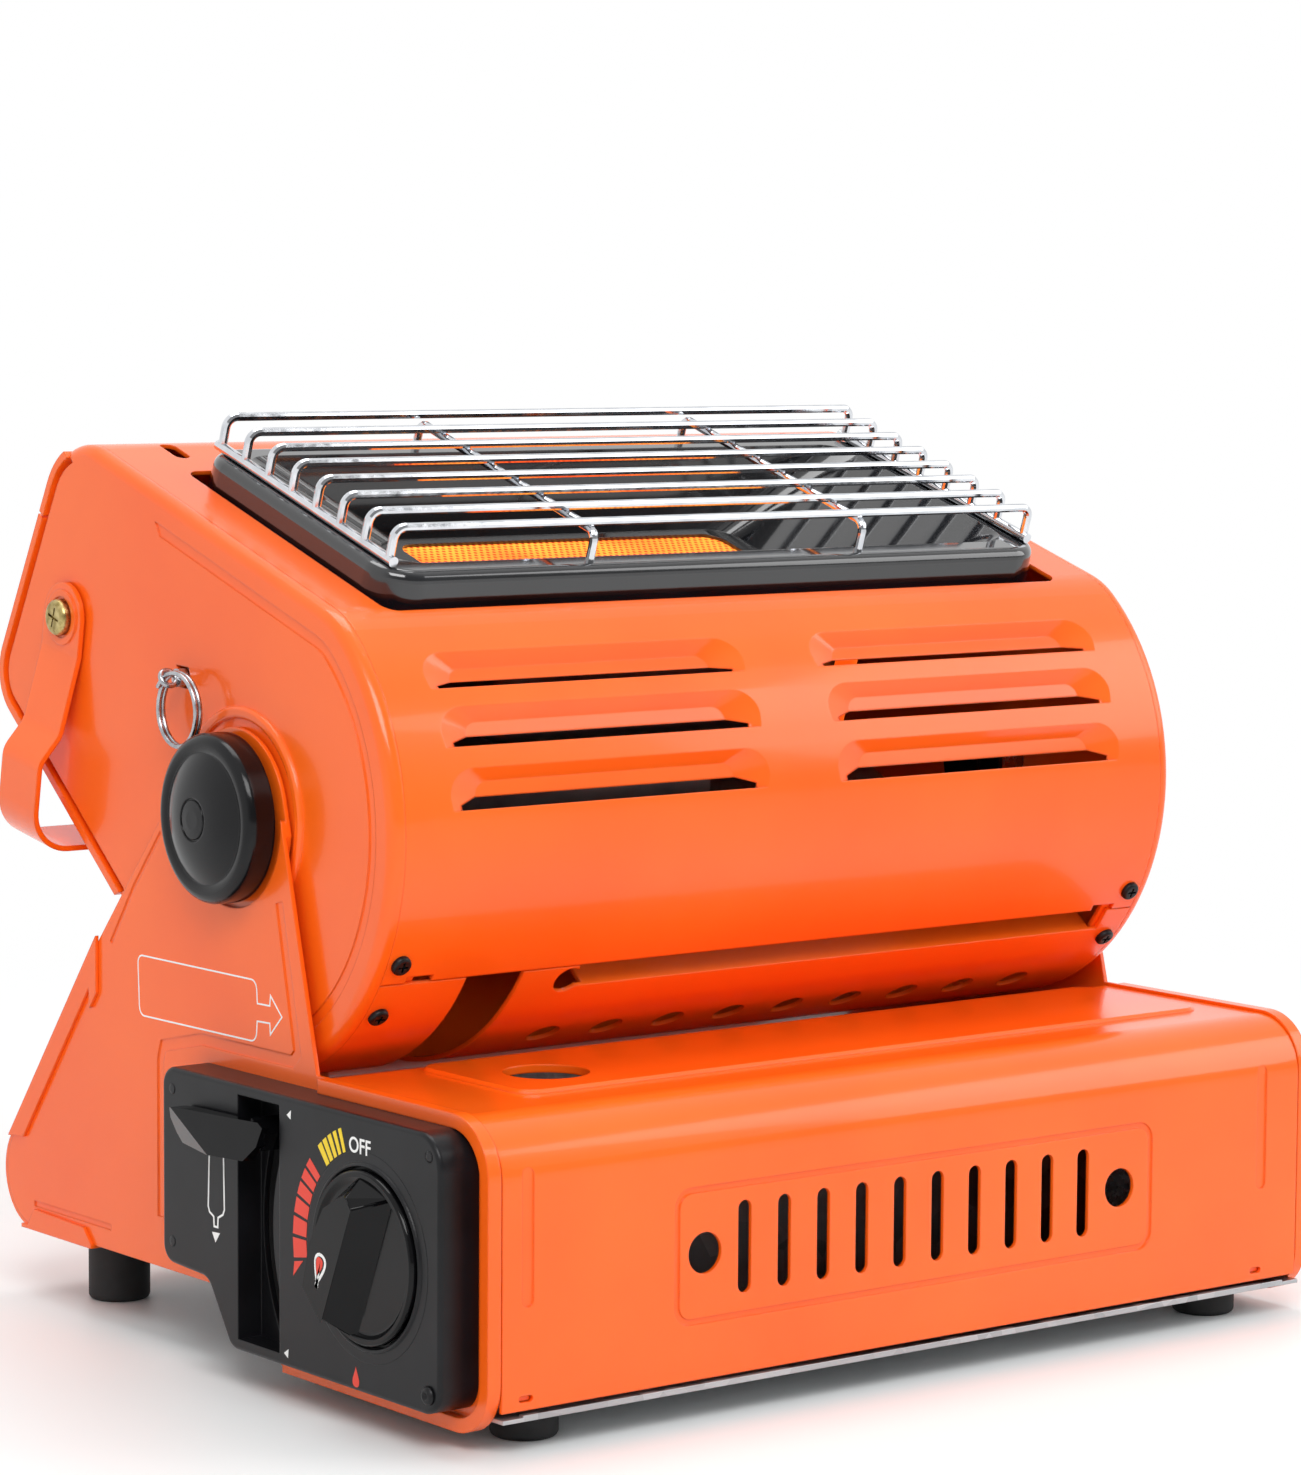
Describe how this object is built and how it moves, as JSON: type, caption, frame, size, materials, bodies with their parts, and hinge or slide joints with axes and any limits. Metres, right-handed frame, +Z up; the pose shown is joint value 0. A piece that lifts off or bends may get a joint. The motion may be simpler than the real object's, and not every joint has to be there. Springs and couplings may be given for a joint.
{
  "type": "portable heater",
  "caption": "Portable radiant gas heater: a louvred burner head with a wire grill tilts on two uprights above a base that holds a gas cartridge, with a knob and a lever.",
  "frame": {"origin": "middle of the underside of the whole heater, on the ground", "axes": "+Z up, -Y towards the lid's front, -X towards the control panel, the pivots' axis along X"},
  "size_m": [0.3, 0.2418, 0.246],
  "materials": {
    "orange_paint": "glossy orange stove enamel on pressed steel",
    "galvanised": "bare galvanised sheet, lightly spangled",
    "black_enamel": "deep gloss black enamel",
    "chrome_wire": "bright plated wire",
    "ceramic": "matte perforated ceramic",
    "brass": "dull machined brass",
    "copper": "drawn copper pipe",
    "zinc_yellow": "yellow-passivated zinc",
    "black_screw": "black oxide",
    "plated_steel": "bright zinc-plated steel",
    "black_plastic": "semi-gloss moulded black plastic",
    "black_rubber": "matte black rubber",
    "raw_steel": "plain steel sheet",
    "cast_alloy": "die-cast alloy",
    "grey_plastic": "matte plastic"
  },
  "bodies": {
    "base": {"base_tray": "galvanised", "end_plate_left": "orange_paint", "end_plate_right": "orange_paint", "rear_cover": "orange_paint", "bay_partition": "galvanised", "heat_trough": "orange_paint", "lid_pins": "plated_steel", "feet": "black_rubber", "control_panel": "black_plastic", "panel_screws": "black_screw", "gas_valve": "cast_alloy", "gas_pipe": "copper", "gas_union": "brass", "carrier_guides": "galvanised", "piezo_igniter": "grey_plastic", "pivot_sleeve_left": "plated_steel", "pivot_sleeve_right": "plated_steel", "index_plate": "raw_steel", "pivot_cap_right": "black_plastic"},
    "head": {"head_side_left": "orange_paint", "head_side_right": "orange_paint", "head_wrapper": "orange_paint", "head_lower_shell": "orange_paint", "head_rear_panel": "orange_paint", "case_screws": "black_screw", "reflector_pan": "black_enamel", "burner_plate": "ceramic", "burner_box": "raw_steel", "mixing_tube": "raw_steel", "injector": "brass", "heat_shield": "galvanised", "ignition_electrode": "ceramic", "wire_grill": "chrome_wire", "handle_screws": "zinc_yellow", "dog_bracket": "raw_steel"},
    "handle": {"handle": "orange_paint"},
    "lock_pin": {"lock_pin": "plated_steel", "lock_spring": "plated_steel"},
    "pull_ring": {"pull_ring": "plated_steel"},
    "button": {"release_button": "black_plastic", "button_spring": "plated_steel"},
    "lid": {"lid": "orange_paint"},
    "knob": {"control_knob": "black_plastic", "valve_spindle": "brass"},
    "lever": {"cartridge_lever": "black_plastic"},
    "carrier": {"cartridge_carrier": "plated_steel"}
  },
  "joints": [
    {"name": "head_tilt", "type": "hinge", "parent": "base", "child": "head", "pos_m": [0.00485, -0.00253, 0.1438], "axis": [1, 0, 0], "range_deg": [-18.3, 71.7]},
    {"name": "handle_swing", "type": "hinge", "parent": "head", "child": "handle", "pos_m": [0.00485, 0.08407, 0.18992], "axis": [1, 0, 0], "range_deg": [-5, 182]},
    {"name": "pin_pull", "type": "slide", "parent": "head", "child": "lock_pin", "axis": [-1, 0, 0], "range_m": [0, 0.003], "stiffness_N_per_m": 400, "springref_m": -0.002},
    {"name": "ring_flip", "type": "hinge", "parent": "lock_pin", "child": "pull_ring", "pos_m": [-0.13255, 0.02525, 0.17763], "axis": [0, 0.848, -0.53], "range_deg": [0, 90]},
    {"name": "button_press", "type": "slide", "parent": "head", "child": "button", "axis": [1, 0, 0], "range_m": [0, 0.002], "stiffness_N_per_m": 600, "springref_m": -0.002},
    {"name": "lid_open", "type": "hinge", "parent": "base", "child": "lid", "pos_m": [0.00485, -0.11753, 0.0128], "axis": [1, 0, 0], "range_deg": [0, 85]},
    {"name": "knob_turn", "type": "hinge", "parent": "base", "child": "knob", "pos_m": [0.00485, -0.08153, 0.044], "axis": [1, 0, 0], "range_deg": [-64, 99]},
    {"name": "lever_turn", "type": "hinge", "parent": "base", "child": "lever", "pos_m": [0.00485, -0.08153, 0.044], "axis": [1, 0, 0], "range_deg": [-36, 0]},
    {"name": "carrier_slide", "type": "slide", "parent": "base", "child": "carrier", "axis": [-1, 0, 0], "range_m": [0, 0.005]}
  ],
  "couplings": [
    {"joint": "lever_turn", "follows": "carrier_slide", "rad_per_m": -125.6}
  ]
}
